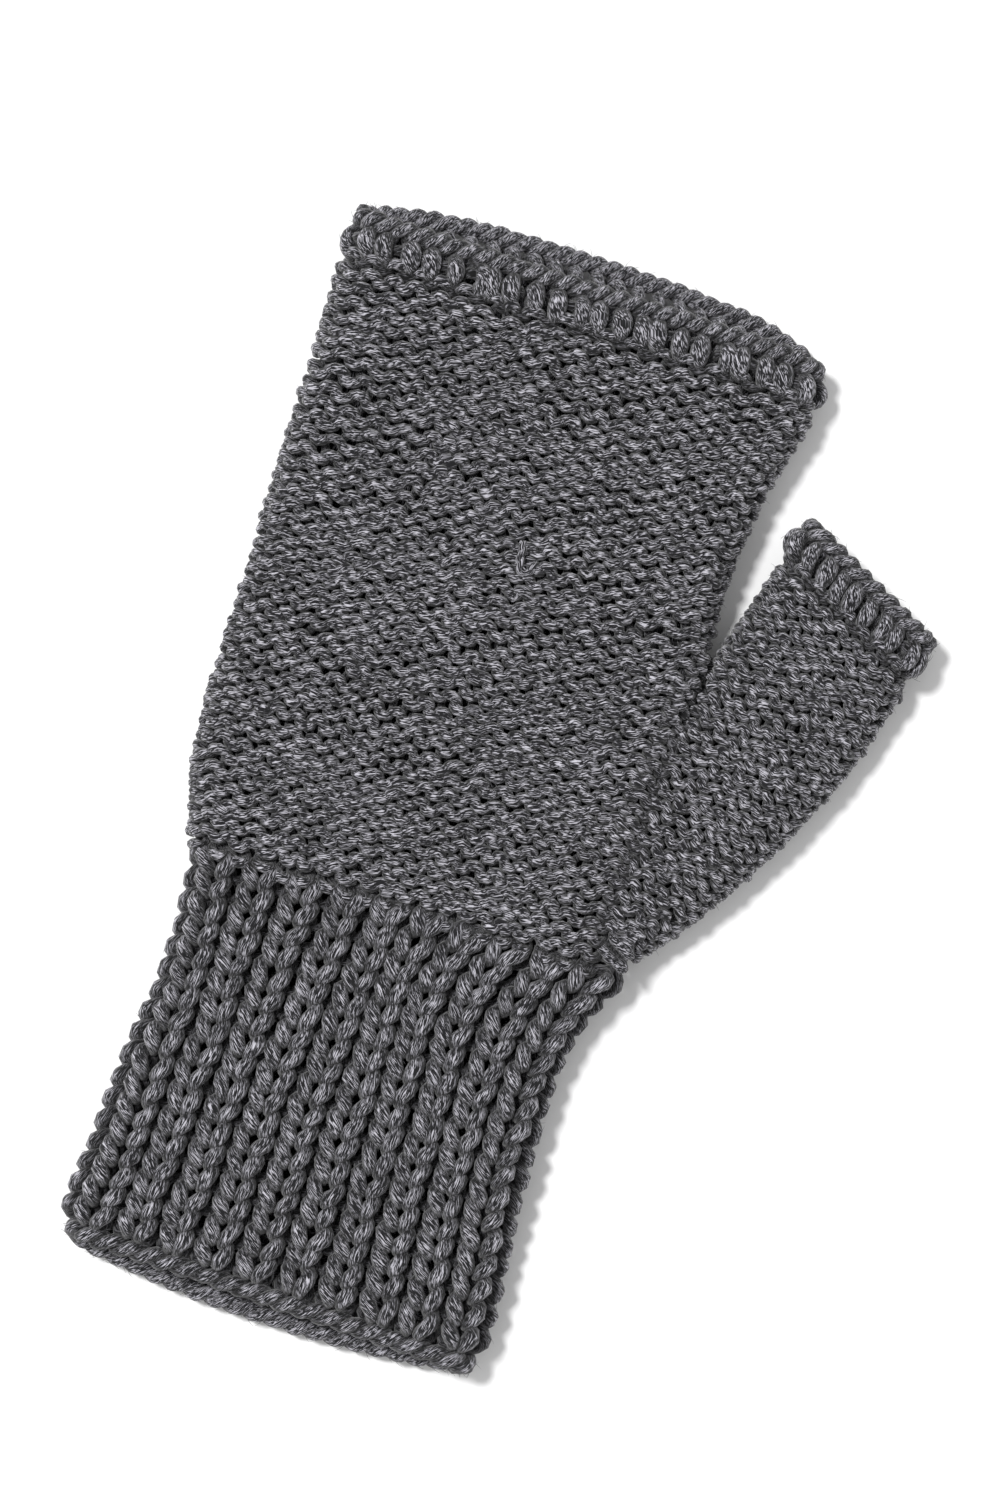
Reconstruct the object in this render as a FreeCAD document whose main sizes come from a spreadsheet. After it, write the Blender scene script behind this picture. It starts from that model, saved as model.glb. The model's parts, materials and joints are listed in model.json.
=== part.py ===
import FreeCAD, Part
import os
import Sketcher

# A fingerless knitted mitt lying flat. +Y runs from the cuff to the fingers, +X is the thumb side,
# +Z is up, and the origin is under the middle of the whole mitt, on the surface it lies on.
# Every tube is a flattened one: a slot-shaped ring of fabric, one wall thick, open at both ends.

V = FreeCAD.Vector
doc = FreeCAD.newDocument("fingerless_mitt")
dims = doc.addObject("Spreadsheet::Sheet", "dims")
cells = {}


def size(name, value, note=""):
    """Writes one named size, in millimetres or degrees, into the spreadsheet."""
    row = len(cells) + 1
    cells[name] = value
    dims.set(f"A{row}", note or name)
    dims.set(f"B{row}", str(value))
    dims.setAlias(f"B{row}", name)
    return value


# Driving sizes
size("wall", 4.0, "thickness of one layer of the knitted fabric")
size("hand_thick", 14.0, "both layers and the space between them, at the hand")
size("cuff_thick", 15.0, "the same at the plump ribbed cuff")
size("hem_thick", 15.4, "the same at the rolled hems")
size("hem_ease", 0.7, "how far a hem's two edges stand off the ground")
size("ground", 0.0, "the surface it lies on")
size("under", -0.2, "where the hand's fabric would reach if it weren't pressed flat")
size("hand_full", 14.2, "the hand's thickness before it is pressed flat")
size("joint_gap", 0.3, "room left where the mitt folds")
size("wrist_at", -23.1, "where the cuff meets the hand")
size("thumb_lean", 27.0, "how far the thumb leans away from the hand")
size("crotch_x", 24.4, "the crotch between thumb and hand")
size("crotch_y", 40.3)
size("front_hem_end", 101.6, "finger hem's edge on the upper layer")
size("back_hem_end", 106.0, "finger hem's edge on the lower layer")
size("front_cuff_end", -102.6, "cast-on edge on the upper layer")
size("back_cuff_end", -106.0, "cast-on edge on the lower layer")
size("cast_on_high", 3.4, "height of the cast-on edge")
size("rib_pitch", 7.5, "from one rib of the cuff to the next")
size("rib_count", 11, "ribs across one layer of the cuff")
size("rib_groove_r", 0.9, "radius of the furrow between two ribs")
size("tail_d", 2.0, "thickness of a woven-in yarn end")


def station(part, i, at, left, right, thick, low="ground"):
    """One section of a tube: where it is along the tube, its two side edges, thickness and height."""
    size(f"{part}_at_{i}", at)
    size(f"{part}_left_{i}", left)
    size(f"{part}_right_{i}", right)
    return (f"{part}_at_{i}", f"{part}_left_{i}", f"{part}_right_{i}", thick, low)


def plane(body, role):
    """One of the body's own origin planes or axes."""
    for item in body.Origin.OriginFeatures:
        if item.Role == role:
            return item
    raise ValueError(role)


def slot_sketch(body, name, section, inset):
    """A slot across the tube at one station: the outer skin, or the space inside it."""
    at, left, right, thick, low = section
    take = "dims.wall" if inset else "0"
    t = cells[thick]
    base = cells[low]
    r = t / 2 - (cells["wall"] if inset else 0)
    mid = base + t / 2
    x1 = cells[left] + t / 2
    x2 = cells[right] - t / 2
    sk = body.newObject("Sketcher::SketchObject", name)
    sk.AttachmentSupport = (plane(body, "XZ_Plane"), [""])
    sk.MapMode = "FlatFace"
    sk.setExpression(".AttachmentOffset.Base.z", f"-dims.{at}")
    up, down = V(0, r, 0), V(0, -r, 0)
    a, b = V(x1, mid, 0), V(x2, mid, 0)
    turn = V(0, 0, 1)
    half = 1.5707963267948966
    sk.addGeometry(Part.ArcOfCircle(Part.Circle(a, turn, r), half, 3 * half), False)
    sk.addGeometry(Part.LineSegment(a + down, b + down), False)
    sk.addGeometry(Part.ArcOfCircle(Part.Circle(b, turn, r), -half, half), False)
    sk.addGeometry(Part.LineSegment(b + up, a + up), False)
    for one, end, two, start in ((0, 2, 1, 1), (1, 2, 2, 1), (2, 2, 3, 1), (3, 2, 0, 1)):
        sk.addConstraint(Sketcher.Constraint("Tangent", one, end, two, start))
    rules = (
        ("Radius", (0,), r, f"dims.{thick} / 2 - {take}"),
        ("Radius", (2,), r, f"dims.{thick} / 2 - {take}"),
        ("DistanceX", (-1, 1, 0, 3), x1, f"dims.{left} + dims.{thick} / 2"),
        ("DistanceX", (-1, 1, 2, 3), x2, f"dims.{right} - dims.{thick} / 2"),
        ("DistanceY", (-1, 1, 0, 3), mid, f"dims.{low} + dims.{thick} / 2"),
        ("DistanceY", (-1, 1, 2, 3), mid, f"dims.{low} + dims.{thick} / 2"),
    )
    for kind, where, value, rule in rules:
        n = sk.addConstraint(Sketcher.Constraint(kind, *where, value))
        sk.setExpression(f"Constraints[{n}]", rule)
    return sk


def tube(label, sections, body=None):
    """A flattened tube of fabric through the sections, hollow all the way along."""
    body = body or doc.addObject("PartDesign::Body", label)
    body.Label = label
    for kind, inset in (("AdditiveLoft", False), ("SubtractiveLoft", True)):
        rings = []
        for i, section in enumerate(sections):
            rings.append(slot_sketch(body, f"{label}_{kind}_{i}", section, inset))
        loft = body.newObject(f"PartDesign::{kind}", f"{label}_{kind}")
        loft.Profile = rings[0]
        loft.Sections = rings[1:]
        loft.Ruled = False
        body.Tip = loft
        for ring in rings:
            ring.Visibility = False
    doc.recompute()
    return body


def outline_sketch(body, name, role, corners, rules):
    """A closed outline of straight lines on one origin plane. rules tie corners to named sizes."""
    sk = body.newObject("Sketcher::SketchObject", name)
    sk.AttachmentSupport = (plane(body, role), [""])
    sk.MapMode = "FlatFace"
    n = len(corners)
    for i in range(n):
        sk.addGeometry(Part.LineSegment(V(*corners[i], 0), V(*corners[(i + 1) % n], 0)), False)
    for i in range(n):
        sk.addConstraint(Sketcher.Constraint("Coincident", i, 2, (i + 1) % n, 1))
    for i, (x, y) in enumerate(corners):
        cx = sk.addConstraint(Sketcher.Constraint("DistanceX", -1, 1, i, 1, x))
        cy = sk.addConstraint(Sketcher.Constraint("DistanceY", -1, 1, i, 1, y))
        rule_x, rule_y = rules.get(i, (None, None))
        if rule_x:
            sk.setExpression(f"Constraints[{cx}]", rule_x)
        if rule_y:
            sk.setExpression(f"Constraints[{cy}]", rule_y)
    sk.Visibility = False
    return sk


def cut_through(body, sketch, length=200.0):
    """Cuts the outline right through the body, both ways, and checks that it took something away."""
    before = body.Shape.Volume
    pocket = body.newObject("PartDesign::Pocket", sketch.Name + "_cut")
    pocket.Profile = sketch
    pocket.Midplane = True
    pocket.Length = length
    body.Tip = pocket
    doc.recompute()
    if not body.Shape.Volume < before - 1e-3:
        raise ValueError(f"{sketch.Name} cut nothing")
    return pocket


HAND = "hand_thick"
FULL = "hand_full"
CUFF = "cuff_thick"
HEM = "hem_thick"
SUNK = "hem_ease"

# Cuff: the ribbed wrist, a little wider at its free end
cuff = tube("cuff_rib", [
    station("cuff", 0, cells["wrist_at"] - cells["joint_gap"] / 2, -57.6, 25.9, CUFF),
    station("cuff", 1, -42.0, -56.2, 23.0, CUFF),
    station("cuff", 2, -72.0, -57.6, 23.2, CUFF),
    station("cuff", 3, cells["front_cuff_end"] + cells["cast_on_high"], -59.8, 25.4, CUFF),
])
furrows = cuff.newObject("Sketcher::SketchObject", "rib_furrows")
furrows.AttachmentSupport = (plane(cuff, "XZ_Plane"), [""])
furrows.MapMode = "FlatFace"
first_x = -16.6 - cells["rib_pitch"] * 4.5
for k, z in enumerate((0.0, cells["cuff_thick"])):
    centre = V(first_x, z, 0)
    furrows.addGeometry(Part.Circle(centre, V(0, 0, 1), cells["rib_groove_r"]), False)
    n = furrows.addConstraint(Sketcher.Constraint("Radius", k, cells["rib_groove_r"]))
    furrows.setExpression(f"Constraints[{n}]", "dims.rib_groove_r")
    n = furrows.addConstraint(Sketcher.Constraint("DistanceX", -1, 1, k, 3, first_x))
    furrows.setExpression(f"Constraints[{n}]", "-16.6 - dims.rib_pitch * 4.5")
    n = furrows.addConstraint(Sketcher.Constraint("DistanceY", -1, 1, k, 3, z))
    furrows.setExpression(f"Constraints[{n}]", "dims.cuff_thick" if k else "0")
furrows.Visibility = False
groove = cut_through(cuff, furrows, 300.0)
ribs = cuff.newObject("PartDesign::LinearPattern", "ribs")
ribs.Originals = [groove]
ribs.Direction = (plane(cuff, "X_Axis"), [""])
ribs.Length = cells["rib_pitch"] * (cells["rib_count"] - 2)
ribs.setExpression("Length", "dims.rib_pitch * (dims.rib_count - 2)")
ribs.Occurrences = cells["rib_count"] - 1
ribs.setExpression("Occurrences", "dims.rib_count - 1")
cuff.Tip = ribs

# Cast-on edge: the cord of first stitches below the ribs, longer on the lower layer
edge = tube("cast_on_edge", [
    station("edge", 0, cells["front_cuff_end"] + cells["cast_on_high"], -59.8, 25.4, CUFF),
    station("edge", 1, -103.2, -60.4, 26.0, CUFF),
    station("edge", 2, cells["back_cuff_end"], -58.8, 24.6, CUFF),
])
low, high = cells["back_cuff_end"], cells["front_cuff_end"]
slant = outline_sketch(edge, "edge_slant", "YZ_Plane",
                       [(low, 5.0), (high, 9.0), (high, 20.0), (low - 9.0, 20.0), (low - 9.0, 5.0)],
                       {0: ("dims.back_cuff_end", None), 1: ("dims.front_cuff_end", None),
                        2: ("dims.front_cuff_end", None)})
cut_through(edge, slant)

# Hand: one tube from the wrist to the finger hem, open at the thumb side up to the crotch
hand = tube("hand_tube", [
    station("hand", 0, cells["wrist_at"] + cells["joint_gap"] / 2, -58.6, 26.9, FULL, "under"),
    station("hand", 1, -6.0, -62.2, 26.6, FULL, "under"),
    station("hand", 2, 18.0, -63.4, 26.4, FULL, "under"),
    station("hand", 3, 45.0, -63.7, 26.2, FULL, "under"),
    station("hand", 4, 70.0, -63.9, 26.4, FULL, "under"),
    station("hand", 5, 92.8, -64.1, 29.4, FULL, "under"),
])
side_x, side_y = cells["crotch_x"], cells["crotch_y"]
foot_x = size("gusset_foot_x", 20.6, "where the gusset starts, at the wrist")
foot_y = size("gusset_foot_y", -24.0)
side = outline_sketch(hand, "gusset_side", "XY_Plane",
                      [(foot_x, foot_y), (side_x, side_y), (90.0, side_y), (90.0, foot_y)],
                      {0: ("dims.gusset_foot_x", "dims.gusset_foot_y"),
                       1: ("dims.crotch_x", "dims.crotch_y"), 2: (None, "dims.crotch_y"),
                       3: (None, "dims.gusset_foot_y")})
cut_through(hand, side)
pressed = outline_sketch(hand, "pressed_flat", "XZ_Plane",
                         [(-90.0, -6.0), (60.0, -6.0), (60.0, 0.0), (-90.0, 0.0)],
                         {2: (None, "dims.ground"), 3: (None, "dims.ground")})
cut_through(hand, pressed, 400.0)
low, high = cells["wall"], cells["hand_thick"] - cells["wall"]
way = outline_sketch(hand, "way_to_gusset", "XZ_Plane",
                     [(10.0, low), (36.0, low), (36.0, high), (10.0, high)],
                     {0: (None, "dims.wall"), 1: (None, "dims.wall"),
                      2: (None, "dims.hand_thick - dims.wall"), 3: (None, "dims.hand_thick - dims.wall")})
way_mid = (side_y + cells["hand_at_0"]) / 2
way.AttachmentOffset = FreeCAD.Placement(V(0, 0, -way_mid), FreeCAD.Rotation())
way.setExpression(".AttachmentOffset.Base.z", "-(dims.crotch_y + dims.hand_at_0) / 2")
cut_through(hand, way, side_y - cells["hand_at_0"])

# Gusset: the wedge beside the hand, cut off along the hand and along the thumb's base
gusset = tube("thumb_gusset", [
    station("gusset", 0, cells["wrist_at"] + cells["joint_gap"] / 2, 0.0, 27.3, HAND),
    station("gusset", 1, -11.7, 0.0, 36.2, HAND),
    station("gusset", 2, 0.0, 0.0, 44.4, HAND),
    station("gusset", 3, 15.0, 0.0, 52.6, HAND),
    station("gusset", 4, 30.0, 0.0, 58.8, HAND),
    station("gusset", 5, 47.0, 0.0, 63.0, HAND),
])
inner = outline_sketch(gusset, "hand_side", "XY_Plane",
                       [(foot_x, foot_y), (side_x, side_y), (side_x, 60.0), (-9.0, 60.0), (-9.0, foot_y)],
                       {0: ("dims.gusset_foot_x", "dims.gusset_foot_y"),
                        1: ("dims.crotch_x", "dims.crotch_y"), 2: ("dims.crotch_x", None),
                        4: (None, "dims.gusset_foot_y")})
cut_through(gusset, inner)
lean = "dims.thumb_lean * 1 deg"
cos_l, sin_l = 0.8910065, 0.4539905
reach = 60.0
gap = cells["joint_gap"] / 2
rest = [(side_x - sin_l * gap - cos_l * 9, side_y - cos_l * gap + sin_l * 9),
        (side_x - sin_l * gap + cos_l * reach, side_y - cos_l * gap - sin_l * reach),
        (side_x + cos_l * reach, 90.0), (side_x - 9.0, 90.0)]
over = outline_sketch(gusset, "thumb_side", "XY_Plane", rest, {
    0: (f"dims.crotch_x - sin({lean}) * dims.joint_gap / 2 - cos({lean}) * 9",
        f"dims.crotch_y - cos({lean}) * dims.joint_gap / 2 + sin({lean}) * 9"),
    1: (f"dims.crotch_x - sin({lean}) * dims.joint_gap / 2 + cos({lean}) * {reach}",
        f"dims.crotch_y - cos({lean}) * dims.joint_gap / 2 - sin({lean}) * {reach}"),
})
cut_through(gusset, over)

# Finger hem: the rolled purl band, plump, with its lower layer reaching further
hem = tube("finger_hem", [
    station("hem", 0, 92.8, -64.3, 29.9, HAND, SUNK),
    station("hem", 1, 99.4, -65.7, 31.4, HEM),
    station("hem", 2, cells["back_hem_end"], -63.8, 29.4, HAND, SUNK),
])
low, high = cells["back_hem_end"], cells["front_hem_end"]
slant = outline_sketch(hem, "hem_slant", "YZ_Plane",
                       [(low, 5.0), (high, 9.0), (high, 20.0), (low + 9.0, 20.0), (low + 9.0, 5.0)],
                       {0: ("dims.back_hem_end", None), 1: ("dims.front_hem_end", None),
                        2: ("dims.front_hem_end", None)})
cut_through(hem, slant)

# Thumb: tube and hem stand on the gusset's slanted end, and fold there
thumb = tube("thumb_tube", [
    station("thumb", 0, gap, 2.6, 35.2, HAND),
    station("thumb", 1, 10.0, 1.0, 34.2, HAND),
    station("thumb", 2, 24.2, -0.8, 31.8, HAND),
])
thumb_hem = tube("thumb_hem", [
    station("thumb_hem", 0, 24.2, -2.6, 31.0, HAND, SUNK),
    station("thumb_hem", 1, 28.8, -4.8, 31.1, HEM),
    station("thumb_hem", 2, 33.4, -3.6, 29.1, HAND, SUNK),
])
for body in (thumb, thumb_hem):
    turned = FreeCAD.Rotation(V(0, 0, -1), cells["thumb_lean"])
    body.Placement = FreeCAD.Placement(V(side_x, side_y, 0), turned)
    body.setExpression(".Placement.Base.x", "dims.crotch_x")
    body.setExpression(".Placement.Base.y", "dims.crotch_y")
    body.setExpression(".Placement.Rotation.Angle", lean)

# Join stitch: one small upright stitch standing on the front of the hand
stitch = doc.addObject("PartDesign::Body", "yarn_join_stitch")
stitch.Label = "yarn_join_stitch"
size("stitch_long", 3.2, "height of the join stitch")
size("stitch_wide", 1.4, "its width")
size("stitch_proud", 0.9, "how far it stands out of the fabric")
sk = stitch.newObject("Sketcher::SketchObject", "stitch_outline")
sk.AttachmentSupport = (plane(stitch, "XY_Plane"), [""])
sk.MapMode = "FlatFace"
r, half_long = cells["stitch_wide"] / 2, cells["stitch_long"] / 2 - cells["stitch_wide"] / 2
quarter = 1.5707963267948966
sk.addGeometry(Part.ArcOfCircle(Part.Circle(V(0, half_long, 0), V(0, 0, 1), r), 0, 2 * quarter), False)
sk.addGeometry(Part.LineSegment(V(-r, half_long, 0), V(-r, -half_long, 0)), False)
sk.addGeometry(Part.ArcOfCircle(Part.Circle(V(0, -half_long, 0), V(0, 0, 1), r),
                                2 * quarter, 4 * quarter), False)
sk.addGeometry(Part.LineSegment(V(r, -half_long, 0), V(r, half_long, 0)), False)
for one, end, two, start in ((0, 2, 1, 1), (1, 2, 2, 1), (2, 2, 3, 1), (3, 2, 0, 1)):
    sk.addConstraint(Sketcher.Constraint("Tangent", one, end, two, start))
stitch_rules = (
    ("Radius", (0,), r, "dims.stitch_wide / 2"),
    ("Radius", (2,), r, "dims.stitch_wide / 2"),
    ("DistanceX", (-1, 1, 0, 3), 0.0, "0"),
    ("DistanceX", (-1, 1, 2, 3), 0.0, "0"),
    ("DistanceY", (-1, 1, 0, 3), half_long, "dims.stitch_long / 2 - dims.stitch_wide / 2"),
    ("DistanceY", (-1, 1, 2, 3), -half_long, "dims.stitch_wide / 2 - dims.stitch_long / 2"),
)
for kind, where, value, rule in stitch_rules:
    n = sk.addConstraint(Sketcher.Constraint(kind, *where, value))
    sk.setExpression(f"Constraints[{n}]", rule)
sk.Visibility = False
pad = stitch.newObject("PartDesign::Pad", "stitch_pad")
pad.Profile = sk
pad.setExpression("Length", "dims.stitch_proud")
doc.recompute()
top = []
for i, e in enumerate(pad.Shape.Edges):
    if abs(e.BoundBox.ZMin - cells["stitch_proud"]) < 1e-6:
        top.append(f"Edge{i + 1}")
soft = stitch.newObject("PartDesign::Fillet", "stitch_round")
soft.Base = (pad, top)
soft.Radius = 0.4
stitch.Tip = soft
stitch.Placement = FreeCAD.Placement(V(-14.3, 46.5, cells["hand_thick"]), FreeCAD.Rotation())
stitch.setExpression(".Placement.Base.z", "dims.hand_thick")


def tail(label, x, y, turn, length):
    """A yarn end lying inside, on the lower layer: a round cord in a gentle bow."""
    body = doc.addObject("PartDesign::Body", label)
    body.Label = label
    size(f"{label}_long", length, "length of this yarn end")
    bow = 160.0
    path = body.newObject("Sketcher::SketchObject", label + "_path")
    path.AttachmentSupport = (plane(body, "XY_Plane"), [""])
    path.MapMode = "FlatFace"
    sweep = length / bow
    path.addGeometry(Part.ArcOfCircle(Part.Circle(V(-bow, 0, 0), V(0, 0, 1), bow), 0, sweep), False)
    path.addConstraint(Sketcher.Constraint("Coincident", 0, 1, -1, 1))
    path.addConstraint(Sketcher.Constraint("PointOnObject", 0, 3, -1))
    path.addConstraint(Sketcher.Constraint("Radius", 0, bow))
    n = path.addConstraint(Sketcher.Constraint("DistanceY", -1, 1, 0, 2,
                                               path.Geometry[0].EndPoint.y))
    path.setExpression(f"Constraints[{n}]", f"{bow} * sin(dims.{label}_long / {bow} * 1 rad)")
    ring = body.newObject("Sketcher::SketchObject", label + "_ring")
    ring.AttachmentSupport = (plane(body, "XZ_Plane"), [""])
    ring.MapMode = "FlatFace"
    ring.addGeometry(Part.Circle(V(0, 0, 0), V(0, 0, 1), cells["tail_d"] / 2), False)
    ring.addConstraint(Sketcher.Constraint("Coincident", 0, 3, -1, 1))
    n = ring.addConstraint(Sketcher.Constraint("Diameter", 0, cells["tail_d"]))
    ring.setExpression(f"Constraints[{n}]", "dims.tail_d")
    pipe = body.newObject("PartDesign::AdditivePipe", label + "_pipe")
    pipe.Profile = ring
    pipe.Spine = path
    body.Tip = pipe
    path.Visibility = False
    ring.Visibility = False
    body.Placement = FreeCAD.Placement(V(x, y, cells["wall"] + cells["tail_d"] / 2 + 0.05),
                                       FreeCAD.Rotation(V(0, 0, 1), turn))
    body.setExpression(".Placement.Base.z", "dims.wall + dims.tail_d / 2 + 0.05")
    return body


tails = [
    tail("cast_on_tail", -47.6, -96.0, -7.0, 40.0),
    tail("finger_tail", -54.5, 56.0, -6.0, 34.0),
    tail("thumb_tail", 35.4, -1.5, -33.0, 26.0),
]

doc.recompute()
pieces = [cuff, edge, hand, gusset, hem, thumb, thumb_hem, stitch] + tails
for obj in doc.Objects:
    if "Invalid" in obj.State or "Error" in obj.State:
        raise ValueError(f"{obj.Name}: {obj.State}")
os.makedirs("parts", exist_ok=True)
for piece in pieces:
    shape = piece.Shape
    if shape.isNull() or not shape.isValid() or len(shape.Solids) != 1:
        raise ValueError(f"{piece.Label}: bad shape, {len(shape.Solids)} solids")
    shape.exportStep(f"parts/{piece.Label}.step")
    print(piece.Label, round(shape.Volume, 1), "mm3")
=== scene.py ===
import json
import math

import bpy
import numpy as np
from mathutils import Matrix, Vector


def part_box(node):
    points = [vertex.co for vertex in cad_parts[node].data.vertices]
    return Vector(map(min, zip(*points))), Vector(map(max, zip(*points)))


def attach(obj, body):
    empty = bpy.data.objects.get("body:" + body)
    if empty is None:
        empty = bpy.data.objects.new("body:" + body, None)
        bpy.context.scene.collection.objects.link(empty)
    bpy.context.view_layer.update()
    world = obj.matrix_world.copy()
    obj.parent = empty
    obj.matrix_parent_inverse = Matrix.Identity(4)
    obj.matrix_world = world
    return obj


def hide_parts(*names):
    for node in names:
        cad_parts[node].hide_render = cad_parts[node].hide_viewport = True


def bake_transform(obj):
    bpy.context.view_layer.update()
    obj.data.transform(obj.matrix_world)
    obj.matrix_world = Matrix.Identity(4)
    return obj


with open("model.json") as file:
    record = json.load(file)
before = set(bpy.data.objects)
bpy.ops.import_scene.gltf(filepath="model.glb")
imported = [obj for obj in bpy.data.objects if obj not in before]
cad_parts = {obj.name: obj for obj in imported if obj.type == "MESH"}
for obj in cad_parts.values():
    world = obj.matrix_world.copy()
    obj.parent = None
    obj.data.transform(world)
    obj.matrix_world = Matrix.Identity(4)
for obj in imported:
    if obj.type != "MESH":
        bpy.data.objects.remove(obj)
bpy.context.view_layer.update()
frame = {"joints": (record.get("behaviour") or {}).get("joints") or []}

# Everything is worked out in millimetres and made in metres.
MM = 0.001
TAU = 2 * math.pi


def middle_mm(node):
    """The middle of a CAD node's box, to a thousandth of a millimetre."""
    lo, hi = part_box(node)
    return np.round((np.array(lo) + np.array(hi)) / 2 / MM, 3)


joints = {j["name"]: j for j in frame["joints"]}
WRIST_Y = joints["wrist_fold"]["pos_m"][1] / MM
THUMB_B = np.array(joints["thumb_fold"]["axis"][:2])  # across the thumb
THUMB_A = np.array([-THUMB_B[1], THUMB_B[0]])  # along the thumb
THUMB_MIDDLE = 17.0  # from the crotch to the middle of the thumb's fold
CROTCH = np.array(joints["thumb_fold"]["pos_m"][:2]) / MM - THUMB_MIDDLE * THUMB_B

HAND_R = 4.9  # from the middle of the flattened tube to the middle of its fabric
CUFF_R = 4.3
HAND_HALF = 7.0  # from the middle of the tube to its outside
CUFF_HALF = 7.5


# ---------------------------------------------------------------- small helpers
def edge(*points):
    """A smooth line through (place, value) points."""
    at = np.array([p[0] for p in points], float)
    val = np.array([p[1] for p in points], float)
    fine = np.arange(at.min() - 30, at.max() + 30, 0.5)
    raw = np.interp(fine, at, val)
    bell = np.exp(-0.5 * (np.arange(-16, 17) / 6.0) ** 2)
    soft = np.convolve(np.pad(raw, 16, mode="edge"), bell / bell.sum(), mode="valid")
    return lambda v: np.interp(v, fine, soft)


def ramp(v, a, b):
    """0 before a, 1 after b, smooth between."""
    t = np.clip((v - a) / (b - a), 0, 1)
    return t * t * (3 - 2 * t)


def waves(seed, around, along, count=12):
    """A soft random field over a tube: u is 0 to 1 round it, v is millimetres along it."""
    rng = np.random.default_rng(seed)
    k = rng.integers(-around, around + 1, count)
    m = rng.uniform(-1, 1, count) / along
    ph = rng.uniform(0, TAU, count)
    size = math.sqrt(2.0 / count)

    def field(u, v):
        total = np.zeros(np.broadcast(u, v).shape)
        for i in range(count):
            total += np.sin(TAU * (k[i] * u + m[i] * v) + ph[i])
        return total * size

    return field


# ---------------------------------------------------------------- yarn meshes
def transport(path, closed):
    """Two directions across the yarn at each point, turning as little as possible.

    path is rows x points x 3.
    """
    if closed:
        ahead, behind = np.roll(path, -1, 1), np.roll(path, 1, 1)
    else:
        ahead = np.concatenate([path[:, 1:], path[:, -1:]], 1)
        behind = np.concatenate([path[:, :1], path[:, :-1]], 1)
    tan = ahead - behind
    tan /= np.linalg.norm(tan, axis=2, keepdims=True)
    rows, n, _ = path.shape
    first = np.cross(tan[:, 0], np.array([0.3, 0.2, 1.0]))
    first /= np.linalg.norm(first, axis=1, keepdims=True)
    one = np.empty_like(path)
    one[:, 0] = first
    for i in range(1, n):
        d = one[:, i - 1] - (one[:, i - 1] * tan[:, i]).sum(1, keepdims=True) * tan[:, i]
        one[:, i] = d / np.linalg.norm(d, axis=1, keepdims=True)
    two = np.cross(tan, one)
    if closed:
        last = one[:, -1] - (one[:, -1] * tan[:, 0]).sum(1, keepdims=True) * tan[:, 0]
        off = np.arctan2((last * two[:, 0]).sum(1), (last * one[:, 0]).sum(1))
        turn = -off[:, None] * np.arange(n)[None] / n
        c, s = np.cos(turn)[..., None], np.sin(turn)[..., None]
        one, two = one * c + two * s, two * c - one * s
    return tan, one, two


TABLE_SOFTNESS = 0.12  # how gently the yarn flattens on the table, square mm
HAIR_R = 0.05
HAIR_START = 60000  # where the hairs begin in the fibre pattern


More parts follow.
